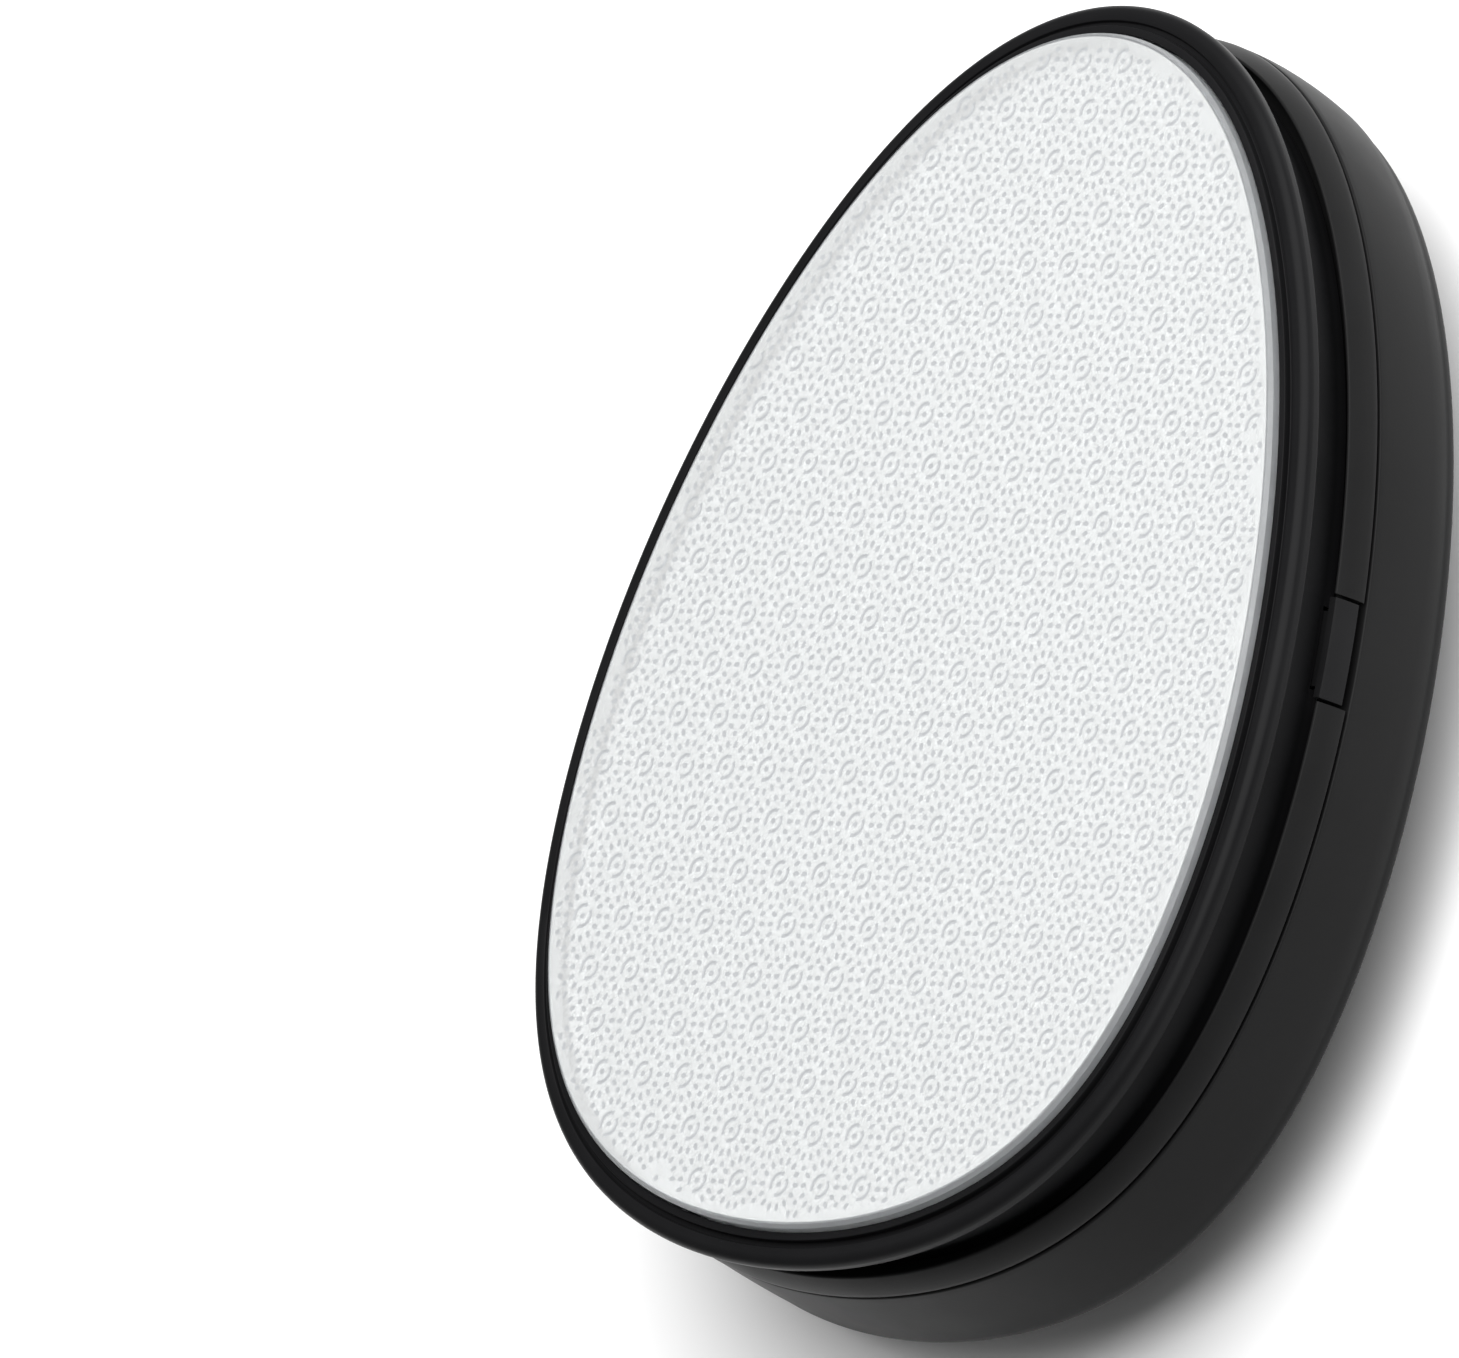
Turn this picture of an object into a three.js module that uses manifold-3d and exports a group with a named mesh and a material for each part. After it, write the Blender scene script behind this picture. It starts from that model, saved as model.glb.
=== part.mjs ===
// An egg-shaped glass foot file. It lies on the crest of its domed grip with the glass facing up:
// +X is the narrow end, +Z is up, and Z = 0 is the surface that it rests on. All sizes are in mm.
import * as THREE from "three";
import { mergeVertices } from "three/addons/utils/BufferGeometryUtils.js";
import Module from "manifold-3d";

const wasm = await Module();
wasm.setup();

// ---- Driving sizes ----------------------------------------------------------------------------

const bodyLength = 102; // egg outline at the parting plane, end to end
const midWidth = 76.5; // the same outline, across its middle
const egg = { taper: 0.17, fullness: 0.098, skew: 0.064, squareness: 0.061 }; // shape of the outline

const gripHeight = 17; // parting plane above the surface that the grip rests on
const wallHeight = 9.1; // side wall of the grip, from the parting plane down to the crease
const sideDraft = 0.5; // how far the side wall leans in by the crease, at mid-length
const narrowDraft = 1.2; // the same at the narrow end
const broadFlare = 0.8; // how far it leans out by the crease, at the broad end
const wallBelly = 0.22; // how far the side wall swells between the parting plane and the crease
const creaseRadius = 1.2; // rounding where the side wall meets the dome
const creaseTuck = 0.42; // how far that rounding draws the dome in
const crestShift = -4; // crest of the dome, along X from the middle of the outline
const crestShare = 0.16; // size of the flat crest, as a share of the outline
const domeRoundness = 1.03; // fall of the dome towards its sides: 1 is a parabola
const endRoundness = 0.35; // how much rounder the dome falls away at its two ends
const shellWall = 2.2; // thickness of the grip shell

const collarHeight = 2.5; // visible band of the head frame, above the parting plane
const collarDraft = 0.75; // how far the band leans in by its top
const rimLand = 0.22; // flat top of the band
const deckTop = 0.8; // top of the head frame's deck, above the parting plane
const deckThickness = 1.6;
const spigotDepth = 4; // how far the head frame's skirt reaches into the grip
const spigotWall = 1.6;

const bezelTop = 8.4; // lip of the bezel, above the parting plane
const bezelFloor = 1.8; // thickness of the bezel under the backing plate
const lipWidth = 0.65;
const creaseWidth = 0.5; // groove that sets the lip off from the shoulder
const creaseDepth = 0.3;
const shoulderStep = 0.35; // how far the shoulder stands below the lip
const shoulderHeight = 1.65;
const shoulderRound = 0.85; // rounding over its outer edge
const shoulderOverhang = 0.05; // outer side of the shoulder, out from the outline
const underside = 0.7; // how far the shoulder's underside falls on its way in to the neck
const neckTopInset = 1.1; // neck of the bezel below the shoulder, in from the outline
const neckFootInset = 2.2; // the same at the deck, which leaves a channel for the skirt of a cover

const glassTop = 9.2; // face of the glass, above the parting plane
const glassThickness = 4;
const glassMargin = 2.7; // edge of the glass, in from the outline
const glassBevel = 0.35;
const pocketGap = 0.15; // between the glass and the lip
const adhesiveThickness = 0.35;

const tabLength = 8; // release tab, along X
const tabCentre = 2.7; // middle of the tab, along X
const tabFace = 0.65; // thickness of the tab's face plate
const tabTravel = 0.6; // how far it can be pressed in
const tabWeb = 0.9; // thickness of the web that joins the face plate to the leg
const tabLegDepth = 5.2; // how far its leg reaches below the parting plane
const tabLegThickness = 1.3;
const tabLift = 0.5; // dark gap between the grip and the tab's lower edge
const ledgeHeight = 1.2; // ledge in the grip beside the leg
const ledgeRoot = 0.6; // how far the ledge is rooted in the grip wall

const screwCount = 6;
const screwRadius = 1.1;
const screwHeadRadius = 2.1;
const screwHeadHeight = 1.5;
const screwRing = 14; // screw circle, in from the outline
const recessDepth = 0.6; // of the driver recess in a screw head

const gap = 0.3; // between pieces that touch
const past = 3; // how far a cutting solid reaches past the surface that it cuts

// ---- Colours ----------------------------------------------------------------------------------

const blackPlastic = () => new THREE.MeshStandardMaterial({ color: 0x1d1d1f, roughness: 0.5, metalness: 0 });
const darkPlastic = () => new THREE.MeshStandardMaterial({ color: 0x141415, roughness: 0.55, metalness: 0 });
const whitePlastic = () => new THREE.MeshStandardMaterial({ color: 0xeef0f2, roughness: 0.6, metalness: 0 });
const etchedGlass = () => new THREE.MeshStandardMaterial({ color: 0xe4e8eb, roughness: 0.35, metalness: 0 });
const tape = () => new THREE.MeshStandardMaterial({ color: 0xf4f5f6, roughness: 0.8, metalness: 0 });
const steel = () => new THREE.MeshStandardMaterial({ color: 0xb9bcc0, roughness: 0.35, metalness: 1 });

// ---- The egg outline --------------------------------------------------------------------------

const outlineSteps = 80;

function outlinePoint(t) {
  const c = Math.cos(t);
  const breadth = 1 - egg.taper * c + egg.fullness * c ** 2 - egg.skew * c ** 3 + egg.squareness * c ** 4;
  return new THREE.Vector2((bodyLength / 2) * c, (midWidth / 2) * Math.sin(t) * breadth);
}

function outlineNormal(t) {
  const step = 1e-4;
  const along = outlinePoint(t + step).sub(outlinePoint(t - step)).normalize();
  return new THREE.Vector2(along.y, -along.x);
}

// A point of the outline moved out by offset, shrunk towards the crest by scale, at height z.
function eggPoint(t, { offset = 0, scale = 1, z }) {
  const out = typeof offset === "function" ? offset(t) : offset;
  const height = typeof z === "function" ? z(t) : z;
  const p = outlinePoint(t).addScaledVector(outlineNormal(t), out).multiplyScalar(scale);
  return [p.x + crestShift * (1 - scale ** 2), p.y, height];
}

// ---- Closed solids ----------------------------------------------------------------------------

// Skins a stack of egg rings, from the middle of the first ring to the middle of the last one.
function skinRings(rings) {
  const vertices = [];
  const faces = [];
  const middle = (ring) => {
    const ends = [eggPoint(0, ring), eggPoint(Math.PI, ring)];
    return [(ends[0][0] + ends[1][0]) / 2, 0, ends[0][2]];
  };
  vertices.push(middle(rings[0]));
  for (const ring of rings) {
    for (let i = 0; i < outlineSteps; i++) vertices.push(eggPoint((2 * Math.PI * i) / outlineSteps, ring));
  }
  vertices.push(middle(rings[rings.length - 1]));
  const at = (ring, i) => 1 + ring * outlineSteps + (i % outlineSteps);
  const last = vertices.length - 1;
  for (let i = 0; i < outlineSteps; i++) {
    faces.push(0, at(0, i + 1), at(0, i));
    for (let r = 0; r < rings.length - 1; r++) {
      faces.push(at(r, i), at(r, i + 1), at(r + 1, i + 1), at(r, i), at(r + 1, i + 1), at(r + 1, i));
    }
    faces.push(at(rings.length - 1, i), at(rings.length - 1, i + 1), last);
  }
  return new wasm.Manifold(
    new wasm.Mesh({
      numProp: 3,
      vertProperties: new Float32Array(vertices.flat()),
      triVerts: new Uint32Array(faces),
    }),
  );
}

function solidOf(geometry) {
  geometry.deleteAttribute("normal");
  geometry.deleteAttribute("uv");
  const merged = mergeVertices(geometry, 1e-5);
  return new wasm.Manifold(
    new wasm.Mesh({
      numProp: 3,
      vertProperties: new Float32Array(merged.attributes.position.array),
      triVerts: new Uint32Array(merged.index.array),
    }),
  );
}

function boxBetween(low, high) {
  const size = high.map((value, i) => value - low[i]);
  const box = new THREE.BoxGeometry(...size);
  box.translate(...low.map((value, i) => value + size[i] / 2));
  return solidOf(box);
}

// A post, pin or hole that stands on z = low.
function post(x, y, radius, low, high, sides = 16) {
  const cylinder = new THREE.CylinderGeometry(radius, radius, high - low, sides);
  cylinder.rotateX(Math.PI / 2);
  cylinder.translate(x, y, (low + high) / 2);
  return solidOf(cylinder);
}

function geometryOf(solid) {
  const { vertProperties, triVerts } = solid.getMesh();
  const geometry = new THREE.BufferGeometry();
  geometry.setAttribute("position", new THREE.BufferAttribute(new Float32Array(vertProperties), 3));
  geometry.setIndex(new THREE.BufferAttribute(new Uint32Array(triVerts), 1));
  geometry.computeVertexNormals();
  return geometry;
}

const part = new THREE.Group();
part.name = "glass_foot_file";

function addPiece(name, geometry, material) {
  const mesh = new THREE.Mesh(geometry, material);
  mesh.name = name;
  part.add(mesh);
  return mesh;
}

// ---- Release tabs: where they are, for every piece that makes room for them -------------------

const parting = gripHeight;
const tabHalf = tabLength / 2;
const legHalf = tabHalf - 1;
const outlineAt = (x) => outlinePoint(Math.acos((2 * x) / bodyLength)).y;
const tabEdge = Math.min(outlineAt(tabCentre - tabHalf), outlineAt(tabCentre + tabHalf));
const wallLean = sideDraft * (tabLegDepth / wallHeight) ** 1.5; // of the grip's wall beside the leg's end
const legOuter = shellWall + wallLean + gap; // outer face of the leg, in from the outline
const legInner = legOuter + tabLegThickness;
const tabWebTop = parting + deckTop + gap + tabWeb;

// A box beside the outline at one tab, between two depths in from the outline.
function besideTab(side, halfLength, outer, inner, low, high) {
  const y = [side * (tabEdge - outer), side * (tabEdge - inner)].sort((a, b) => a - b);
  return boxBetween([tabCentre - halfLength, y[0], low], [tabCentre + halfLength, y[1], high]);
}

// ---- Grip shell: side wall, soft crease and dome ----------------------------------------------

// How far the crease stands out from the outline: the draft turns from the sides to each end.
function creaseOffset(t) {
  const end = (broadFlare - narrowDraft) / 2 - ((broadFlare + narrowDraft) / 2) * Math.cos(t);
  return THREE.MathUtils.lerp(end, -sideDraft, Math.sin(t) ** 2);
}

// Side wall at a share of its height: 0 at the parting plane and 1 at the crease.
function wallRing(share, inset = 0) {
  const belly = wallBelly * 4 * share * (1 - share);
  return {
    offset: (t) => creaseOffset(t) * share ** 1.5 + belly - inset,
    z: parting - gap / 2 - share * (wallHeight - gap / 2),
  };
}

// Rounding over the crease: 0 where it leaves the side wall and 1 where it meets the dome.
function creaseRing(turn, inset = 0) {
  const a = (turn * Math.PI) / 2;
  const low = parting - wallHeight;
  return {
    offset: (t) => creaseOffset(t) - creaseTuck * (1 - Math.cos(a)) - inset,
    z: low + creaseRadius * (1 - Math.sin(a)),
  };
}

// Dome at a share of the outline: 1 at the crease and crestShare at the flat crest.
function domeRing(share, inset = 0, lift = 0) {
  const rise = gripHeight - wallHeight;
  const reach = (share ** 2 - crestShare ** 2) / (1 - crestShare ** 2);
  const roundness = (t) => domeRoundness + endRoundness * Math.cos(t) ** 2;
  return {
    scale: share,
    offset: (t) => creaseOffset(t) - creaseTuck - inset,
    z: (t) => rise * (1 - (1 - reach) ** (1 / roundness(t))) + lift,
  };
}

const domeShares = [0.97, 0.91, 0.82, 0.7, 0.56, 0.4, 0.27, crestShare];
const wallShares = [0, 0.3, 0.6];

function makeGripShell() {
  const outer = [
    ...[...domeShares].reverse().map((share) => domeRing(share)),
    ...[1, 0.66, 0.33, 0].map((turn) => creaseRing(turn)),
    ...[...wallShares].reverse().map((share) => wallRing(share)),
  ];
  const innerShares = domeShares.filter((_, i) => i % 2 === 1);
  const inner = [
    wallRing(0, shellWall),
    wallRing(0.4, shellWall),
    wallRing(1 - shellWall / wallHeight, shellWall),
    ...innerShares.map((share) => domeRing(share, shellWall, shellWall)),
  ];
  return skinRings([...outer, ...inner]);
}

// The ledge inside the grip wall that a tab's leg stands over.
function gripLedge(side) {
  const low = parting - tabLegDepth + gap;
  return besideTab(side, legHalf, shellWall - ledgeRoot, legOuter - gap, low, low + ledgeHeight);
}

let grip = makeGripShell();
for (const side of [-1, 1]) grip = grip.add(gripLedge(side));
addPiece("grip_shell", geometryOf(grip), blackPlastic());

// ---- Head frame: visible band, groove, deck and the spigot that fits in the grip --------------

const rimInner = collarDraft + rimLand;
const deckEdge = rimInner + 0.1; // the inside of the band leans in by this much
const spigotOuter = shellWall + gap;
const spigotInner = spigotOuter + spigotWall;
const bezelLow = parting + deckTop + gap;
const bezelFloorTop = bezelLow + bezelFloor;

function screwPlaces() {
  const places = [];
  for (let i = 0; i < screwCount; i++) {
    const t = (2 * Math.PI * (i + 0.5)) / screwCount;
    const [x, y] = eggPoint(t, { offset: -screwRing, z: 0 });
    places.push([x, y]);
  }
  return places;
}

function makeHeadFrame() {
  let frame = skinRings([
    { offset: -spigotInner, z: parting + deckTop - deckThickness },
    { offset: -spigotInner, z: parting - spigotDepth },
    { offset: -spigotOuter - 0.4, z: parting - spigotDepth },
    { offset: -spigotOuter, z: parting - spigotDepth + 0.5 },
    { offset: -spigotOuter, z: parting + gap / 2 },
    { offset: 0, z: parting + gap / 2 },
    { offset: -collarDraft * 0.35, z: parting + collarHeight * 0.6 },
    { offset: -collarDraft, z: parting + collarHeight },
    { offset: -rimInner, z: parting + collarHeight },
    { offset: -deckEdge, z: parting + deckTop },
  ]);
  for (const side of [-1, 1]) {
    const top = parting + collarHeight + 1;
    const low = parting - spigotDepth - 1;
    const faceRoom = collarDraft + tabFace + tabTravel + gap;
    frame = frame.subtract(besideTab(side, tabHalf + gap, -past, faceRoom, parting - 0.5, top));
    frame = frame.subtract(besideTab(side, legHalf + gap, -past, legInner + tabTravel + gap, low, top));
  }
  for (const [x, y] of screwPlaces()) {
    frame = frame.subtract(post(x, y, screwRadius + 0.2, parting - 2, parting + 2));
  }
  return frame;
}

addPiece("head_frame", geometryOf(makeHeadFrame()), blackPlastic());

// ---- Bezel: the raised ring with its lip and rounded shoulder, which holds the glass ----------

const lipInner = glassMargin - pocketGap;
const lipOuter = lipInner - lipWidth;
const footBevel = 0.3; // round the foot of the bezel and under its shoulder
const lipRound = 0.1;

function makeBezel() {
  const top = parting + bezelTop;
  const shoulderTop = top - shoulderStep;
  const shoulderLow = shoulderTop - shoulderHeight;
  const creaseOuter = lipOuter - creaseWidth;
  const rounding = [0, 0.35, 0.7, 1].map((turn) => ({
    offset: shoulderOverhang - shoulderRound * (1 - Math.cos((turn * Math.PI) / 2)),
    z: shoulderTop - shoulderRound * (1 - Math.sin((turn * Math.PI) / 2)),
  }));
  let bezel = skinRings([
    { offset: -neckFootInset - footBevel, z: bezelLow },
    { offset: -neckFootInset, z: bezelLow + footBevel },
    { offset: -neckFootInset, z: parting + collarHeight },
    { offset: -neckTopInset, z: shoulderLow - underside },
    { offset: shoulderOverhang - 2 * footBevel, z: shoulderLow },
    { offset: shoulderOverhang - 0.2 * footBevel, z: shoulderLow + footBevel },
    ...rounding,
    { offset: -creaseOuter, z: shoulderTop },
    { offset: -creaseOuter, z: shoulderTop - creaseDepth },
    { offset: -lipOuter, z: shoulderTop - creaseDepth },
    { offset: -lipOuter, z: top - lipRound },
    { offset: -lipOuter - lipRound, z: top },
    { offset: -lipInner, z: top },
    { offset: -lipInner, z: bezelFloorTop },
  ]);
  for (const side of [-1, 1]) {
    const slotInner = legInner + tabTravel + gap;
    bezel = bezel.subtract(besideTab(side, legHalf + gap, -past, slotInner, bezelLow - 1, tabWebTop + gap));
  }
  for (const [x, y] of screwPlaces()) {
    bezel = bezel.subtract(post(x, y, screwRadius + 0.1, bezelLow - 1, bezelFloorTop - 0.2));
  }
  return bezel;
}

addPiece("bezel", geometryOf(makeBezel()), blackPlastic());

// ---- Glass plate, on its adhesive sheet and white backing plate -------------------------------

const glassLow = parting + glassTop - glassThickness;
const adhesiveLow = glassLow - gap - adhesiveThickness;
const backingLow = bezelFloorTop + gap;

function plate(inset, low, high, bevel) {
  return skinRings([
    { offset: -inset - bevel, z: low },
    { offset: -inset, z: low + bevel },
    { offset: -inset, z: high - bevel },
    { offset: -inset - bevel, z: high },
  ]);
}

const plateInset = glassMargin + gap;
const adhesiveBevel = adhesiveThickness * 0.25;
addPiece("backing_plate", geometryOf(plate(plateInset, backingLow, adhesiveLow - gap, 0.1)), whitePlastic());
addPiece(
  "adhesive_sheet",
  geometryOf(plate(glassMargin + 0.1, adhesiveLow, adhesiveLow + adhesiveThickness, adhesiveBevel)),
  tape(),
);
const glass = plate(glassMargin, glassLow, parting + glassTop, glassBevel);
addPiece("glass_plate", geometryOf(glass), etchedGlass());

// ---- Release tabs: face plate flush with the band, web over the deck, leg and hook ------------

// The band's outside at the tab, moved in by inset.
function tabBand(inset) {
  return skinRings([
    { offset: -collarDraft * 0.05 - inset, z: parting + gap / 2 + tabLift },
    { offset: -collarDraft * 0.35 - inset, z: parting + collarHeight * 0.6 },
    { offset: -collarDraft - inset, z: parting + collarHeight },
  ]);
}

function makeTab(side) {
  const outside = tabBand(0);
  const stretch = besideTab(side, tabHalf, -past, past, parting, parting + collarHeight + 1);
  const face = outside.subtract(tabBand(tabFace)).intersect(stretch);
  const slab = besideTab(side, legHalf, -past, legInner, parting + deckTop + gap, tabWebTop);
  const web = slab.intersect(outside);
  const leg = besideTab(side, legHalf, legOuter, legInner, parting - tabLegDepth, tabWebTop);
  return face.add(web).add(leg);
}

for (const [side, name] of [
  [-1, "release_tab_front"],
  [1, "release_tab_rear"],
]) {
  addPiece(name, geometryOf(makeTab(side)), darkPlastic());
}

// ---- Screws that hold the bezel on the head frame, driven from below --------------------------

function screwGeometry() {
  const headLow = parting + deckTop - deckThickness - gap - screwHeadHeight;
  const shoulder = headLow + screwHeadHeight;
  const tip = bezelFloorTop - 0.5;
  const profile = [
    [0, headLow + recessDepth],
    [screwHeadRadius * 0.35, headLow + recessDepth],
    [screwHeadRadius * 0.45, headLow],
    [screwHeadRadius * 0.8, headLow + 0.1],
    [screwHeadRadius, headLow + recessDepth],
    [screwHeadRadius, shoulder],
    [screwRadius, shoulder],
    [screwRadius, tip - 0.5],
    [screwRadius * 0.6, tip],
    [0, tip],
  ].map(([radius, z]) => new THREE.Vector2(radius, z));
  const geometry = new THREE.LatheGeometry(profile, 12);
  geometry.rotateX(Math.PI / 2);
  return geometry;
}

screwPlaces().forEach(([x, y], i) => {
  addPiece(`bezel_screw_${i + 1}`, screwGeometry(), steel()).position.set(x, y, 0);
});

export default part;
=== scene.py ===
import math
from collections import namedtuple

import bmesh
import bpy
from bpy.props import FloatProperty, FloatVectorProperty, IntProperty, PointerProperty
from mathutils import Matrix, Vector
from mathutils.geometry import delaunay_2d_cdt


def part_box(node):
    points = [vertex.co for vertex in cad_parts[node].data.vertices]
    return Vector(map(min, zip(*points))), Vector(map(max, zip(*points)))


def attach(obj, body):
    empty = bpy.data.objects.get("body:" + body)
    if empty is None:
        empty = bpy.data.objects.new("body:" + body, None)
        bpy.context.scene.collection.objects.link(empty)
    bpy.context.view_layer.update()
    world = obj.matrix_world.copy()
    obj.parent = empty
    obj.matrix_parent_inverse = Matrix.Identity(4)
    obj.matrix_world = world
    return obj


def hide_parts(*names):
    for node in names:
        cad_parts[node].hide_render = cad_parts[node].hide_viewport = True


bl_info = {
    "name": "Glass Foot File",
    "version": (1, 0, 0),
    "blender": (4, 5, 0),
    "location": "3D View > Sidebar > Foot File",
    "description": "Builds an egg-shaped foot file with an etched glass plate around its packed frame",
    "category": "Add Mesh",
}

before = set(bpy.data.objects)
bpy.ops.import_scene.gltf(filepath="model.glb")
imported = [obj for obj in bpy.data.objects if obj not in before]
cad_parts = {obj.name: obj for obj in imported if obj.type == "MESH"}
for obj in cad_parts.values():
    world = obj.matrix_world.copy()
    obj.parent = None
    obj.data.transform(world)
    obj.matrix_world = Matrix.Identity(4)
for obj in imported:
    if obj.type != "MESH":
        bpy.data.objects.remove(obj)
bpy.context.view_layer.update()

MM = 0.001
GAP = 0.3 * MM  # between pieces that touch
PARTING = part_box("grip_shell")[1].z + GAP / 2  # plane where the head meets the grip
GLASS_LOW, GLASS_TOP = (corner.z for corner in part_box("glass_plate"))
TAB_SIDES = (("front", -1), ("rear", 1))
PAST = 3 * MM  # how far a cutting box reaches past the outline
LEG_MARGIN = MM  # how much shorter a tab's leg is than its face plate, at each end
LEDGE_ROOT = 0.6 * MM  # how far a ledge goes into the grip's wall
LEDGE_HEIGHT = 1.2 * MM
WALL_CURVE = 1.5  # how late the draft of the side wall sets in, as a power
BAND_CURVE = 1.6  # the same for the band
CREASE_TUCK = 0.35  # how far the crease draws in, as a share of its radius
DOME_ROUNDNESS = 1.03  # roundness of the dome across its middle
DOME_EDGE = 0.985  # share of the outline where the dome stops, short of the crease
GLASS_ROOM = 0.15 * MM  # between the glass and the lip
ADHESIVE_INSET = 0.1 * MM  # sheet in from the edge of the glass
SCREW_COUNT = 6
HOLE_ROOM = 0.2 * MM  # round a screw in the deck
BORE_ROOM = 0.1 * MM  # round a screw in the bezel
RING_ARCS = ((75, 212), (250, 388))  # parts of a medallion's broken ring, in degrees


# ---- Sizes and finishes -------------------------------------------------------------------------


def length(name, description, millimetres):
    return FloatProperty(
        name=name, description=description, default=millimetres * MM, unit="LENGTH", precision=5
    )


def plain(name, description, value):
    return FloatProperty(name=name, description=description, default=value)


def colour(name, description, *rgb):
    return FloatVectorProperty(
        name=name, description=description, default=rgb, size=3, subtype="COLOR", min=0, max=1
    )


class EggSizes(bpy.types.PropertyGroup):
    """The egg outline at the parting plane, which every ring of the file follows."""

    body_length: length("Length", "Egg outline, end to end", 102)
    mid_width: length("Width", "Egg outline, across its middle", 76.5)
    taper: plain("Taper", "How much narrower the outline is towards +X", 0.17)
    fullness: plain("Fullness", "How much fuller both ends are", 0.098)
    skew: plain("Skew", "Taper near the ends only", 0.064)
    squareness: plain("Squareness", "Fullness near the ends only", 0.061)
    steps: IntProperty(name="Steps", description="Points round the outline", default=320, min=48)


class GripSizes(bpy.types.PropertyGroup):
    """The domed grip under the head."""

    wall_height: length("Side wall", "From the parting plane down to the crease", 9.1)
    side_draft: length("Side draft", "Lean of the side wall at mid-length", 0.5)
    narrow_draft: length("Narrow end draft", "Lean of the side wall at the narrow end", 1.2)
    broad_flare: length("Broad end flare", "Outward lean at the broad end", 0.8)
    wall_belly: length("Belly", "Swell of the side wall", 0.22)
    crease_radius: length("Crease radius", "Rounding between side wall and dome", 1.2)
    crest_shift: length("Crest shift", "Crest of the dome along X", -4)
    crest_share: plain("Crest share", "Flat crest as a share of the outline", 0.16)
    end_roundness: plain("End roundness", "How much rounder the dome falls away at its ends", 0.35)
    shell_wall: length("Wall", "Thickness of the shell", 2.2)
    rim_radius: length("Rim radius", "Rounding of the rim at the parting plane", 0.18)


class HeadSizes(bpy.types.PropertyGroup):
    """The head frame and the bezel that stands on it."""

    collar_height: length("Band height", "Visible band above the parting plane", 2.5)
    collar_draft: length("Band draft", "Lean of the band by its top", 0.75)
    rim_land: length("Band rim", "Flat top of the band", 0.22)
    deck_top: length("Deck", "Top of the deck above the parting plane", 0.8)
    deck_thickness: length("Deck thickness", "Thickness of the deck", 1.6)
    spigot_depth: length("Spigot depth", "Reach of the skirt into the grip", 4)
    spigot_wall: length("Spigot wall", "Thickness of the skirt", 1.6)
    bezel_top: length("Bezel top", "Lip of the bezel above the parting plane", 8.4)
    bezel_floor: length("Bezel floor", "Thickness under the backing plate", 1.8)
    lip_width: length("Lip width", "Flat lip round the glass", 0.65)
    crease_width: length("Crease", "Width of the groove that sets the lip off from the shoulder", 0.5)
    crease_depth: length("Crease depth", "Depth of that groove", 0.3)
    shoulder_step: length("Shoulder step", "How far the shoulder stands below the lip", 0.35)
    shoulder_height: length("Shoulder", "Height of the shoulder", 1.65)
    shoulder_round: length("Rounding", "Radius over the shoulder", 0.85)
    overhang: length("Overhang", "Outer side of the shoulder, out from the outline", 0.05)
    underside: length("Underside", "How far the shoulder's underside falls on its way in", 0.7)
    neck_top_inset: length("Neck top", "Neck under the shoulder, in from the outline", 1.1)
    neck_foot_inset: length("Neck foot", "Neck at the deck, in from the outline", 2.2)


class TabSizes(bpy.types.PropertyGroup):
    """The two release tabs, and the screws under the deck."""

    tab_length: length("Tab length", "Along X", 8)
    tab_centre: length("Tab centre", "Middle of the tab along X", 2.7)
    tab_face: length("Face plate", "Thickness of the tab's face plate", 0.65)
    tab_travel: length("Travel", "How far a tab presses in", 0.6)
    tab_web: length("Web", "Thickness of the web that joins the face plate to the leg", 0.9)
    leg_depth: length("Leg depth", "Reach of the leg below the parting plane", 5.2)
    leg_thickness: length("Leg thickness", "Thickness of the leg", 1.3)
    tab_lift: length("Lower gap", "Gap between the grip and the tab's lower edge", 0.5)
    edge_radius: length("Edge radius", "Rounding of the tab's edges", 0.1)
    screw_ring: length("Screw ring", "Screw circle in from the outline", 14)
    screw_radius: length("Screw", "Radius of the thread", 1.1)
    screw_head: length("Screw head", "Radius of the head", 2.1)


class GlassSizes(bpy.types.PropertyGroup):
    """The glass plate and the medallions etched into its face."""

    margin: length("Margin", "Edge of the glass in from the outline", 2.7)
    bevel: length("Bevel", "Ground bevel round the plate", 0.35)
    clear_border: length("Clear border", "Plain glass between the bevel and the etching", 0.35)
    pitch: length("Pitch", "Distance between medallions in a row", 4.7)
    row_pitch: length("Row pitch", "Distance between rows", 4.13)
    turn: FloatProperty(
        name="Turn", description="Turn of the rows", default=math.radians(1.5), subtype="ANGLE"
    )
    start_x: length("Start X", "Place of one medallion", 0.44)
    start_y: length("Start Y", "Place of one medallion", 2.97)
    eye_radius: length("Eye", "Radius of the middle pit", 0.3)
    ring_radius: length("Ring", "Radius of the broken ring", 0.88)
    ring_width: length("Ring width", "Width of the ring's groove", 0.34)
    halo_radius: length("Halo", "Radius of the circle of pits", 1.88)
    halo_count: IntProperty(name="Halo pits", description="Pits in the circle", default=14, min=6)
    pit_radius: length("Pit", "Radius of a pit along its long way", 0.35)
    pit_depth: length("Pit depth", "Depth of the etching", 0.05)


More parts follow.
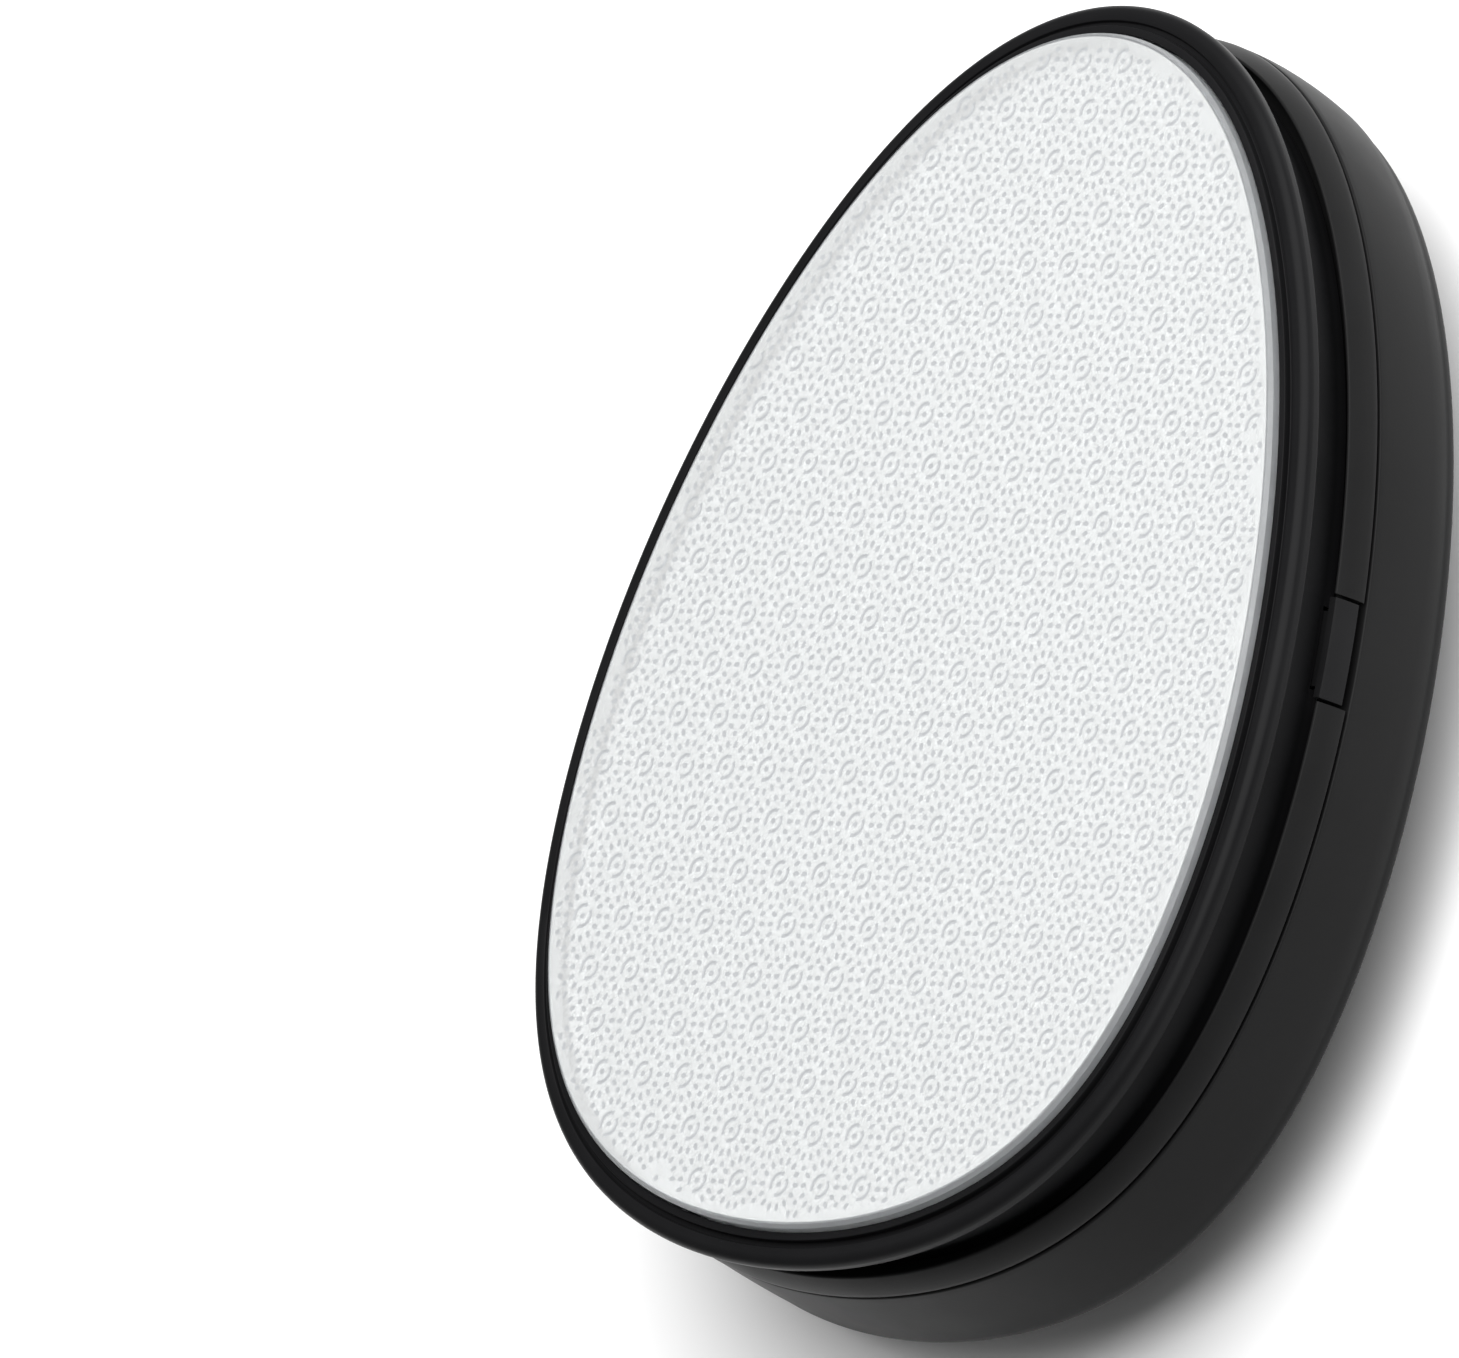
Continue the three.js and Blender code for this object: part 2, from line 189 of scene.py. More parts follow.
class Finishes(bpy.types.PropertyGroup):
    """Colours of the plastics, the glass and the metal."""

    shell: colour("Grip and band", "Satin black of the grip and the head frame", 0.0095, 0.0095, 0.0097)
    bezel: colour("Bezel", "Satin black of the bezel", 0.007, 0.007, 0.0075)
    tab: colour("Tabs", "Black of the release tabs", 0.010, 0.010, 0.0105)
    glass: colour("Glass", "Tint of the clear glass", 0.97, 0.985, 0.985)
    etching: colour("Etching", "Frosted bottom of the pits", 0.35, 0.36, 0.37)
    edge: colour("Ground edge", "Frosted edge of the plate", 0.33, 0.34, 0.35)
    backing: colour("Backing", "White under the glass", 0.9, 0.91, 0.92)
    metal: colour("Metal", "Zinc on the screws", 0.6, 0.61, 0.63)
    floor: colour("Floor", "Pale studio floor", 0.9, 0.9, 0.9)


GROUPS = {
    "egg": EggSizes,
    "grip": GripSizes,
    "head": HeadSizes,
    "tab": TabSizes,
    "glass": GlassSizes,
    "finish": Finishes,
}


def sizes(name):
    return getattr(bpy.context.scene, "foot_file_" + name)


# ---- The egg outline ----------------------------------------------------------------------------

# offset and z are numbers or functions of t. scale shrinks the ring towards the crest of the dome.
Ring = namedtuple("Ring", "offset z scale", defaults=(1,))


def outline_point(t):
    egg = sizes("egg")
    c = math.cos(t)
    breadth = 1 - egg.taper * c + egg.fullness * c**2 - egg.skew * c**3 + egg.squareness * c**4
    return Vector((egg.body_length / 2 * c, egg.mid_width / 2 * math.sin(t) * breadth))


def outline_normal(t):
    step = 1e-4
    along = (outline_point(t + step) - outline_point(t - step)).normalized()
    return Vector((along.y, -along.x))


def value_at(value, t):
    return value(t) if callable(value) else value


def egg_point(t, ring):
    flat = (outline_point(t) + outline_normal(t) * value_at(ring.offset, t)) * ring.scale
    shift = sizes("grip").crest_shift * (1 - ring.scale**2)
    return Vector((flat.x + shift, flat.y, value_at(ring.z, t)))


def outline_y(x):
    return outline_point(math.acos(2 * x / sizes("egg").body_length)).y


def tab_edge():
    tab = sizes("tab")
    ends = (tab.tab_centre - tab.tab_length / 2, tab.tab_centre + tab.tab_length / 2)
    return min(outline_y(x) for x in ends)


# ---- Mesh tools ---------------------------------------------------------------------------------


def arc(centre, radii, start, end, steps):
    """Points of an elliptical arc in a profile, as (inset, height), with the angles in degrees."""
    points = []
    for i in range(steps + 1):
        a = math.radians(start + (end - start) * i / steps)
        points.append((centre[0] + radii[0] * math.cos(a), centre[1] + radii[1] * math.sin(a)))
    return points


def rings_of(profile):
    """Rings that follow the outline at each (inset, height above the parting plane) of a profile."""
    return [Ring(-inset, PARTING + height) for inset, height in profile]


def even_angles(steps):
    return [2 * math.pi * i / steps for i in range(steps)]


def skin(mesh, loops):
    """Joins loops of points with quads and closes the first and the last with a flat face."""
    loops = [[mesh.verts.new(point) for point in loop] for loop in loops]
    steps = len(loops[0])
    for low, high in zip(loops, loops[1:]):
        for i in range(steps):
            j = (i + 1) % steps
            mesh.faces.new((low[i], low[j], high[j], high[i]))
    mesh.faces.new(loops[0][::-1])
    mesh.faces.new(loops[-1])


def add_rings(mesh, rings, steps=None):
    """Skins rings that follow the egg outline."""
    angles = even_angles(steps or sizes("egg").steps)
    skin(mesh, [[egg_point(t, ring) for t in angles] for ring in rings])


def add_box(mesh, low, high):
    size = [b - a for a, b in zip(low, high)]
    middle = [(a + b) / 2 for a, b in zip(low, high)]
    place = Matrix.Translation(middle) @ Matrix.Diagonal((*size, 1))
    bmesh.ops.create_cube(mesh, size=1, matrix=place)


def piece_from(name, mesh, *materials):
    """Makes the object, with smooth shading that breaks at the sharp edges."""
    data = bpy.data.meshes.new(name)
    bmesh.ops.recalc_face_normals(mesh, faces=mesh.faces)
    mesh.to_mesh(data)
    mesh.free()
    for material in materials:
        data.materials.append(material)
    piece = bpy.data.objects.new(name, data)
    bpy.context.scene.collection.objects.link(piece)
    shade(piece)
    return piece


def shade(piece, angle=32):
    piece.data.shade_smooth()
    piece.data.set_sharp_from_angle(angle=math.radians(angle))


def apply_modifiers(piece):
    graph = bpy.context.evaluated_depsgraph_get()
    data = bpy.data.meshes.new_from_object(piece.evaluated_get(graph))
    piece.modifiers.clear()
    piece.data = data


def combine(piece, other, operation):
    """Joins, cuts or keeps the overlap of two closed pieces, and throws the second away."""
    step = piece.modifiers.new("combine", "BOOLEAN")
    step.operation = operation
    step.solver = "EXACT"
    step.object = other
    apply_modifiers(piece)
    bpy.data.objects.remove(other)


def box_piece(low, high):
    mesh = bmesh.new()
    add_box(mesh, low, high)
    return piece_from("box", mesh)


def beside_tab(side, half_length, outer, inner, low, high):
    """A box at one tab, between two depths in from the outline and two heights."""
    centre = sizes("tab").tab_centre
    y = sorted((side * (tab_edge() - outer), side * (tab_edge() - inner)))
    return box_piece((centre - half_length, y[0], low), (centre + half_length, y[1], high))


def round_edges(piece, radius, segments=3):
    step = piece.modifiers.new("round", "BEVEL")
    step.width = radius
    step.segments = segments
    step.limit_method = "ANGLE"
    step.angle_limit = math.radians(35)
    apply_modifiers(piece)


def even_normals(piece):
    """Lets the broad faces set the shading, so that the narrow roundings don't smear it."""
    step = piece.modifiers.new("even normals", "WEIGHTED_NORMAL")
    step.keep_sharp = True


def place(piece, body, slot, *nodes):
    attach(piece, body)
    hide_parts(*nodes)


# ---- Materials ----------------------------------------------------------------------------------


class Nodes:
    """A material's node tree, with short calls for the few nodes that these finishes share."""

    def __init__(self, name):
        self.material = bpy.data.materials.new(name)
        self.material.use_nodes = True
        self.tree = self.material.node_tree
        self.tree.nodes.clear()
        self.output = self.add("ShaderNodeOutputMaterial")
        self.shader = self.add("ShaderNodeBsdfPrincipled")
        self.link(self.shader, "BSDF", self.output, "Surface")
        self.coordinates = self.add("ShaderNodeTexCoord")

    def add(self, kind, **values):
        node = self.tree.nodes.new(kind)
        for key, value in values.items():
            setattr(node, key, value)
        return node

    def link(self, source, output, target, socket):
        self.tree.links.new(source.outputs[output], target.inputs[socket])

    def noise(self, per_metre, detail=3, roughness=0.55):
        node = self.add("ShaderNodeTexNoise")
        node.inputs["Scale"].default_value = per_metre
        node.inputs["Detail"].default_value = detail
        node.inputs["Roughness"].default_value = roughness
        self.link(self.coordinates, "Object", node, "Vector")
        return node

    def spread(self, source, low, high, start=0.3, end=0.7):
        """The source's Fac, mapped from start..end to low..high."""
        node = self.add("ShaderNodeMapRange")
        for socket, value in zip(("From Min", "From Max", "To Min", "To Max"), (start, end, low, high)):
            node.inputs[socket].default_value = value
        self.link(source, "Fac", node, "Value")
        return node

    def tint(self, source, rgb, low, high):
        """The colour, made darker or lighter in patches by the source."""
        node = self.add("ShaderNodeMix", data_type="RGBA")
        node.inputs["A"].default_value = (*(c * low for c in rgb), 1)
        node.inputs["B"].default_value = (*(min(1, c * high) for c in rgb), 1)
        fac = self.spread(source, 0, 1)
        self.link(fac, "Result", node, "Factor")
        self.tree.links.new(node.outputs["Result"], self.shader.inputs["Base Color"])

    def bump(self, source, distance, strength=1):
        node = self.add("ShaderNodeBump")
        node.inputs["Distance"].default_value = distance
        node.inputs["Strength"].default_value = strength
        self.link(source, "Fac", node, "Height")
        self.link(node, "Normal", self.shader, "Normal")


def satin_plastic(name, rgb, roughness, grain=0.004 * MM, gloss=0.075):
    """Moulded plastic: a fine spark-eroded grain, and faint patches of gloss from handling."""
    nodes = Nodes(name)
    patches = nodes.noise(90, 4)
    nodes.tint(patches, rgb, 0.9, 1.12)
    rough = nodes.spread(patches, roughness - 0.04, roughness + 0.05)
    nodes.link(rough, "Result", nodes.shader, "Roughness")
    nodes.bump(nodes.noise(3500, 2), grain)
    nodes.shader.inputs["Specular IOR Level"].default_value = gloss
    return nodes.material


def clear_glass(name, rgb):
    """The plate itself: clear, with a satin face left by the etching bath."""
    nodes = Nodes(name)
    patches = nodes.noise(260, 3)
    nodes.tint(patches, rgb, 0.985, 1)
    rough = nodes.spread(patches, 0.1, 0.16)
    nodes.link(rough, "Result", nodes.shader, "Roughness")
    nodes.bump(nodes.noise(2600, 2), 0.002 * MM)
    nodes.shader.inputs["Transmission Weight"].default_value = 0.6
    nodes.shader.inputs["IOR"].default_value = 1.5
    return nodes.material


def frosted_glass(name, rgb, roughness, clear):
    """Ground or etched glass, which scatters most of the light."""
    nodes = Nodes(name)
    patches = nodes.noise(900, 3)
    nodes.tint(patches, rgb, 0.94, 1.04)
    rough = nodes.spread(patches, roughness - 0.05, roughness + 0.05)
    nodes.link(rough, "Result", nodes.shader, "Roughness")
    nodes.bump(nodes.noise(6000, 2), 0.004 * MM)
    nodes.shader.inputs["Transmission Weight"].default_value = clear
    nodes.shader.inputs["IOR"].default_value = 1.5
    return nodes.material


def matt_white(name, rgb):
    """White sheet or moulding, with a faint fibre in its surface."""
    nodes = Nodes(name)
    fibre = nodes.noise(1200, 4)
    nodes.tint(fibre, rgb, 0.97, 1.02)
    nodes.bump(fibre, 0.01 * MM)
    nodes.shader.inputs["Roughness"].default_value = 0.7
    return nodes.material


def zinc(name, rgb):
    """Zinc-plated steel, with fine turning marks."""
    nodes = Nodes(name)
    marks = nodes.noise(2200, 5)
    nodes.tint(marks, rgb, 0.8, 1.1)
    rough = nodes.spread(marks, 0.26, 0.42)
    nodes.link(rough, "Result", nodes.shader, "Roughness")
    nodes.bump(marks, 0.006 * MM)
    nodes.shader.inputs["Metallic"].default_value = 1
    return nodes.material


def studio_floor(name, rgb):
    nodes = Nodes(name)
    nodes.tint(nodes.noise(6, 2), rgb, 0.995, 1.005)
    nodes.shader.inputs["Roughness"].default_value = 0.9
    return nodes.material


# ---- Grip ---------------------------------------------------------------------------------------


def crease_offset(t):
    """How far the crease stands out from the outline: the draft turns from the sides to each end."""
    grip = sizes("grip")
    middle = (grip.broad_flare - grip.narrow_draft) / 2
    end = middle - (grip.broad_flare + grip.narrow_draft) / 2 * math.cos(t)
    side = math.sin(t) ** 2
    return end * (1 - side) - grip.side_draft * side


def wall_ring(share, inset=0, drop=0):
    """Side wall at a share of its height: 0 at the parting plane and 1 at the crease."""
    grip = sizes("grip")
    belly = grip.wall_belly * 4 * share * (1 - share)
    z = PARTING - GAP / 2 - drop - share * (grip.wall_height - GAP / 2)
    return Ring(lambda t: crease_offset(t) * share**WALL_CURVE + belly - inset, z)


def crease_ring(turn):
    """Rounding over the crease: 0 where it leaves the side wall and 1 where it meets the dome."""
    grip = sizes("grip")
    a = turn * math.pi / 2
    pull = grip.crease_radius * CREASE_TUCK * (1 - math.cos(a))
    z = PARTING - grip.wall_height + grip.crease_radius * (1 - math.sin(a))
    return Ring(lambda t: crease_offset(t) - pull, z)


def dome_ring(share, inset=0, lift=0):
    """Dome at a share of the outline: 1 at the crease and crest_share at the flat crest."""
    grip = sizes("grip")
    rise = PARTING - grip.wall_height
    reach = (share**2 - grip.crest_share**2) / (1 - grip.crest_share**2)

    def height(t):
        roundness = DOME_ROUNDNESS + grip.end_roundness * math.cos(t) ** 2
        return rise * (1 - (1 - reach) ** (1 / roundness)) + lift

    pull = grip.crease_radius * CREASE_TUCK
    return Ring(lambda t: crease_offset(t) - pull - inset, height, share)


def dome_shares(count):
    """Shares from the crest to the crease, closer together where the dome falls away fastest."""
    crest = sizes("grip").crest_share
    turns = [math.pi / 2 * i / (count - 1) for i in range(count)]
    return [crest + (DOME_EDGE - crest) * math.sin(a) for a in turns]


def outer_grip_rings():
    grip = sizes("grip")
    dome = [dome_ring(share) for share in dome_shares(26)]
    crease = [crease_ring(turn) for turn in (1, 0.86, 0.72, 0.58, 0.44, 0.3, 0.15, 0)]
    first = grip.rim_radius / grip.wall_height
    wall = [wall_ring(share) for share in (0.78, 0.66, 0.54, 0.42, 0.3, 0.18, 0.08, first)]
    rim = [
        wall_ring(0, grip.rim_radius * (1 - math.sin(a)), grip.rim_radius * (1 - math.cos(a)))
        for a in (math.radians(60), math.radians(30), 0)
    ]
    return dome + crease + wall + rim


def inner_grip_rings():
    grip = sizes("grip")
    wall = [
        wall_ring(0, grip.shell_wall - grip.rim_radius),
        wall_ring(grip.rim_radius / grip.wall_height, grip.shell_wall),
        wall_ring(0.4, grip.shell_wall),
        wall_ring(1 - grip.shell_wall / grip.wall_height, grip.shell_wall),
    ]
    dome = [dome_ring(share, grip.shell_wall, grip.shell_wall) for share in dome_shares(14)[::-1]]
    return wall + dome


def grip_ledge(side):
    """The ledge on the grip's wall that a tab's leg stands beside."""
    tab, grip = sizes("tab"), sizes("grip")
    low = PARTING - tab.leg_depth + GAP
    outer = grip.shell_wall - LEDGE_ROOT
    leg_half = tab.tab_length / 2 - LEG_MARGIN
    return beside_tab(side, leg_half, outer, leg_outer() - GAP, low, low + LEDGE_HEIGHT)


def leg_outer():
    """Outer face of a tab's leg, in from the outline."""
    tab, grip = sizes("tab"), sizes("grip")
    lean = grip.side_draft * (tab.leg_depth / grip.wall_height) ** WALL_CURVE
    return grip.shell_wall + lean + GAP


def leg_inner():
    return leg_outer() + sizes("tab").leg_thickness


class FOOTFILE_OT_grip(bpy.types.Operator):
    """Make the domed grip, with its soft crease, rounded rim and inside ledges"""

    bl_idname = "footfile.grip"
    bl_label = "Grip"

    def execute(self, context):
        mesh = bmesh.new()
        add_rings(mesh, outer_grip_rings() + inner_grip_rings())
        plastic = satin_plastic("satin black grip", sizes("finish").shell, 0.42)
        piece = piece_from("domed_grip", mesh, plastic)
        for _, side in TAB_SIDES:
            combine(piece, grip_ledge(side), "UNION")
        shade(piece)
        even_normals(piece)
        place(piece, "grip", "black_plastic", "grip_shell")
        return {"FINISHED"}


# ---- Head frame ---------------------------------------------------------------------------------


def groove_outer():
    head = sizes("head")
    return head.collar_draft + head.rim_land + 0.1 * MM


def bezel_low():
    return PARTING + sizes("head").deck_top + GAP


def bezel_floor_top():
    return bezel_low() + sizes("head").bezel_floor


def screw_places():
    places = []
    for i in range(SCREW_COUNT):
        t = 2 * math.pi * (i + 0.5) / SCREW_COUNT
        places.append(egg_point(t, Ring(-sizes("tab").screw_ring, 0)))
    return places


def post(x, y, radius, low, high):
    mesh = bmesh.new()
    middle = Matrix.Translation((x, y, (low + high) / 2))
    bmesh.ops.create_cone(
        mesh,
        cap_ends=True,
        segments=48,
        radius1=radius,
        radius2=radius,
        depth=high - low,
        matrix=middle,
    )
    return piece_from("post", mesh)


def head_profile():
    """Deck, spigot, parting land, leaning band and groove, as (inset, height)."""
    head, grip = sizes("head"), sizes("grip")
    outer = grip.shell_wall + GAP
    inner = outer + head.spigot_wall
    low = -head.spigot_depth
    top, draft = head.collar_height, head.collar_draft
    foot = GAP / 2
    soft = 0.12 * MM
    band = []
    for i in range(7):
        share = i / 6
        band.append((draft * share**BAND_CURVE, foot + soft + (top - foot - 2 * soft) * share))
    return [
        (inner, head.deck_top - head.deck_thickness),
        (inner, low + 0.3 * MM),
        (inner - 0.3 * MM, low),
        (outer + 0.4 * MM, low),
        (outer, low + 0.5 * MM),
        (outer, foot),
        (soft, foot),
        (soft * 0.3, foot + soft * 0.3),
        *band,
        (draft + soft * 0.4, top - soft * 0.35),
        (draft + soft, top),
        (draft + head.rim_land, top),
        (groove_outer(), head.deck_top),
    ]


class FOOTFILE_OT_head_frame(bpy.types.Operator):
    """Make the head frame: the band, the deck and the spigot that fits in the grip"""

    bl_idname = "footfile.head_frame"
    bl_label = "Head frame"

    def execute(self, context):
        head, tab = sizes("head"), sizes("tab")
        mesh = bmesh.new()
        add_rings(mesh, rings_of(head_profile()))
        plastic = satin_plastic("satin black band", sizes("finish").shell, 0.42)
        piece = piece_from("head_band_and_deck", mesh, plastic)
        half, room = tab.tab_length / 2, tab.tab_travel + GAP
        top, low = PARTING + head.collar_height + MM, PARTING - head.spigot_depth - MM
        for _, side in TAB_SIDES:
            inner = head.collar_draft + tab.tab_face + room
            window = beside_tab(side, half + GAP, -PAST, inner, PARTING - 0.5 * MM, top)
            combine(piece, window, "DIFFERENCE")
            slot = beside_tab(side, half - LEG_MARGIN + GAP, -PAST, leg_inner() + room, low, top)
            combine(piece, slot, "DIFFERENCE")
        for x, y, _ in screw_places():
            hole = post(x, y, tab.screw_radius + HOLE_ROOM, PARTING - 2 * MM, PARTING + 2 * MM)
            combine(piece, hole, "DIFFERENCE")
        shade(piece)
        even_normals(piece)
        place(piece, "head", "black_plastic", "head_frame")
        return {"FINISHED"}


# ---- Bezel --------------------------------------------------------------------------------------


def bezel_profile():
    """Foot, leaning neck, overhanging shoulder, crease, lip and pocket, as (inset, height)."""
    head, glass = sizes("head"), sizes("glass")
    low, top = head.deck_top + GAP, head.bezel_top
    lip_inner = glass.margin - GLASS_ROOM
    lip_outer = lip_inner - head.lip_width
    crease_outer = lip_outer - head.crease_width
    shoulder_top = top - head.shoulder_step
    shoulder_low = shoulder_top - head.shoulder_height
    crease_low = shoulder_top - head.crease_depth
    inset, radius = -head.overhang, head.shoulder_round
    foot = 0.3 * MM
    soft = 0.1 * MM
    under = arc((inset + foot * 1.5, shoulder_low + foot), (foot * 1.3, foot), -90, -180, 5)
    over = arc((inset + radius, shoulder_top - radius), (radius, radius), 180, 90, 14)
    return [
        (head.neck_foot_inset + foot, low),
        (head.neck_foot_inset, low + foot),
        (head.neck_foot_inset, head.collar_height),
        (head.neck_top_inset, shoulder_low - head.underside),
        *under,
        *over,
        (crease_outer - soft, shoulder_top),
        (crease_outer - soft * 0.3, shoulder_top - soft * 0.3),
        (crease_outer, shoulder_top - soft),
        (crease_outer + soft * 0.5, crease_low + soft * 0.4),
        (crease_outer + soft, crease_low),
        (lip_outer - soft * 0.4, crease_low),
        (lip_outer, crease_low + soft * 0.4),
        (lip_outer, top - soft),
        (lip_outer + soft * 0.3, top - soft * 0.3),
        (lip_outer + soft, top),
        (lip_inner - soft * 0.6, top),
        (lip_inner, top - soft * 0.6),
        (lip_inner, low + head.bezel_floor),
    ]


class FOOTFILE_OT_bezel(bpy.types.Operator):
    """Make the raised bezel that holds the glass"""

    bl_idname = "footfile.bezel"
    bl_label = "Bezel"

    def execute(self, context):
        tab = sizes("tab")
        mesh = bmesh.new()
        add_rings(mesh, rings_of(bezel_profile()))
        plastic = satin_plastic("satin black bezel", sizes("finish").bezel, 0.38, gloss=0.06)
        piece = piece_from("glass_bezel", mesh, plastic)
        half, room = tab.tab_length / 2, tab.tab_travel + GAP
        low = bezel_low() - MM
        web_room = bezel_low() + tab.tab_web + GAP
        for _, side in TAB_SIDES:
            slot = beside_tab(side, half - LEG_MARGIN + GAP, -PAST, leg_inner() + room, low, web_room)
            combine(piece, slot, "DIFFERENCE")
        for x, y, _ in screw_places():
            hole = post(x, y, tab.screw_radius + BORE_ROOM, low, bezel_floor_top() - 0.2 * MM)
            combine(piece, hole, "DIFFERENCE")
        shade(piece)
        even_normals(piece)
        place(piece, "head", "black_plastic", "bezel")
        return {"FINISHED"}


# ---- Backing plate and adhesive sheet -----------------------------------------------------------


class FOOTFILE_OT_backing(bpy.types.Operator):
    """Make the white backing plate and the adhesive sheet under the glass"""

    bl_idname = "footfile.backing"
    bl_label = "Backing"

    def execute(self, context):
        white = matt_white("matt white backing", sizes("finish").backing)
        margin = sizes("glass").margin
        for name, node, inset, slot in (
            ("white_backing_plate", "backing_plate", margin + GAP, "white_plastic"),
            ("white_adhesive_sheet", "adhesive_sheet", margin + ADHESIVE_INSET, "adhesive_tape"),
        ):
            low, high = (corner.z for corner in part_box(node))
            bevel = (high - low) * 0.2
            mesh = bmesh.new()
            rings = [
                Ring(-inset - bevel, low),
                Ring(-inset, low + bevel),
                Ring(-inset, high - bevel),
                Ring(-inset - bevel, high),
            ]
            add_rings(mesh, rings)
            place(piece_from(name, mesh, white), "head", slot, node)
        return {"FINISHED"}


# ---- Glass plate --------------------------------------------------------------------------------


def pit(centre, long_way, radius, narrow):
    """Rim and bottom of one drop-shaped pit, as points on the face of the glass."""
    across = Vector((-long_way.y, long_way.x))
    rim = []
    corners = 7
    for i in range(corners):
        a = 2 * math.pi * i / corners
        rim.append(centre + long_way * radius * math.cos(a) + across * radius * narrow * math.sin(a))
    return rim, [centre]


def ring_groove(centre, radius, width, start, end):
    """Rim and bottom line of one part of the broken ring, between two angles."""
    steps = 9
    angles = [start + (end - start) * i / steps for i in range(steps + 1)]

    def at(r, a):
        return centre + Vector((math.cos(a), math.sin(a))) * r

    outside = [at(radius + width / 2, a) for a in angles]
    inside = [at(radius - width / 2, a) for a in angles]
    return outside + inside[::-1], [at(radius, a) for a in angles[1:-1]]


def medallion(centre, turn):
    """Every pit and groove of one medallion: an eye, a broken ring and a circle of pits."""
    glass = sizes("glass")
    shapes = [pit(centre, Vector((math.cos(turn), math.sin(turn))), glass.eye_radius, narrow=0.85)]
    for start, end in RING_ARCS:
        low, high = math.radians(start) + turn, math.radians(end) + turn
        shapes.append(ring_groove(centre, glass.ring_radius, glass.ring_width, low, high))
    for i in range(glass.halo_count):
        a = 2 * math.pi * i / glass.halo_count + turn
        out = Vector((math.cos(a), math.sin(a)))
        shapes.append(pit(centre + out * glass.halo_radius, out, glass.pit_radius, narrow=0.66))
    return shapes


def etched_shapes(inset):
    """Medallions in staggered rows, and a lone pit in each gap between three, inside the inset."""
    glass = sizes("glass")
    along = Vector((math.cos(glass.turn), math.sin(glass.turn)))
    across = Vector((-along.y, along.x))
    start = Vector((glass.start_x, glass.start_y))
    steps = 240
    edge = [egg_point(2 * math.pi * i / steps, Ring(-inset, 0)).to_2d() for i in range(steps)]
    shapes = []
    reach = int(sizes("egg").body_length / glass.row_pitch / 2) + 2
    for row in range(-reach, reach + 1):
        for place_in_row in range(-reach, reach + 1):
            shift = place_in_row + row % 2 / 2
            centre = start + along * glass.row_pitch * row + across * glass.pitch * shift
            shapes += medallion(centre, glass.turn + math.pi / 2)
            for side in (-1, 1):
                gap_centre = centre + across * glass.pitch / 2 + along * side * glass.row_pitch / 3
                shapes.append(pit(gap_centre, across, glass.pit_radius * 0.8, narrow=0.9))
    return [shape for shape in shapes if all(is_inside(point, edge) for point in shape[0])]


def is_inside(point, edge):
    """True if the point is left of every side of a convex outline that runs anticlockwise."""
    return all(
        (b.x - a.x) * (point.y - a.y) > (b.y - a.y) * (point.x - a.x)
        for a, b in zip(edge, edge[1:] + edge[:1])
    )


def add_etched_face(mesh, loop, z):
    """Fills the loop with the plate's face, with every pit and groove sunk into it."""
    glass = sizes("glass")
    points = [vert.co.to_2d() for vert in loop]
    edges = [(i, (i + 1) % len(loop)) for i in range(len(loop))]
    sunk = set()
    for rim, bottom in etched_shapes(glass.margin + glass.bevel + glass.clear_border):
        first = len(points)
        points += rim
        edges += [(first + i, first + (i + 1) % len(rim)) for i in range(len(rim))]
        sunk.update(range(len(points), len(points) + len(bottom)))
        points += bottom
    inside_only, closeness = 1, 1e-9
    flat, _, faces, sources, _, _ = delaunay_2d_cdt(points, edges, [], inside_only, closeness)
    verts, is_sunk = [], []
    for point, source in zip(flat, sources):
        is_rim = source and source[0] < len(loop)
        is_sunk.append(bool(source) and source[0] in sunk)
        depth = glass.pit_depth if is_sunk[-1] else 0
        verts.append(loop[source[0]] if is_rim else mesh.verts.new((*point, z - depth)))
    for corners in faces:
        face = mesh.faces.new([verts[i] for i in corners])
        face.material_index = 1 if any(is_sunk[i] for i in corners) else 0


class FOOTFILE_OT_glass(bpy.types.Operator):
    """Make the glass plate, with its ground edge and etched medallions"""

    bl_idname = "footfile.glass"
    bl_label = "Glass plate"

    def execute(self, context):
        glass, finish = sizes("glass"), sizes("finish")
        mesh = bmesh.new()
        steps = sizes("egg").steps
        soft = glass.bevel * 0.3
        rings = [
            Ring(-glass.margin - glass.bevel, GLASS_LOW),
            Ring(-glass.margin, GLASS_LOW + glass.bevel),
            Ring(-glass.margin, GLASS_TOP - glass.bevel),
            Ring(-glass.margin - glass.bevel + soft, GLASS_TOP - soft * 0.3),
            Ring(-glass.margin - glass.bevel - soft * 0.5, GLASS_TOP),
        ]
        add_rings(mesh, rings)
        mesh.faces.ensure_lookup_table()
        mesh.faces.remove(mesh.faces[-1])
        mesh.verts.ensure_lookup_table()
        for face in mesh.faces:
            face.material_index = 2 if len(face.verts) == 4 else 0
        add_etched_face(mesh, mesh.verts[-steps:], GLASS_TOP)
        piece = piece_from(
            "etched_glass_plate",
            mesh,
            clear_glass("clear glass", finish.glass),
            frosted_glass("etched pits", finish.etching, 0.5, 0),
            frosted_glass("ground glass edge", finish.edge, 0.35, 0.55),
        )
        shade(piece, angle=24)
        place(piece, "head", "etched_glass", "glass_plate")
        return {"FINISHED"}


# ---- Release tabs -------------------------------------------------------------------------------


def tab_band(inset):
    """A closed body with the band's outside at the tab's height, moved in by inset."""
    head, tab = sizes("head"), sizes("tab")
    low, top = GAP / 2 + tab.tab_lift, head.collar_height
    profile = []
    for i in range(9):
        height = low + (top - low) * i / 8
        share = (height - GAP / 2) / (top - GAP / 2)
        profile.append((head.collar_draft * share**BAND_CURVE + inset, height))
    mesh = bmesh.new()
    add_rings(mesh, rings_of(profile), sizes("egg").steps * 2)
    return piece_from("tab band", mesh)


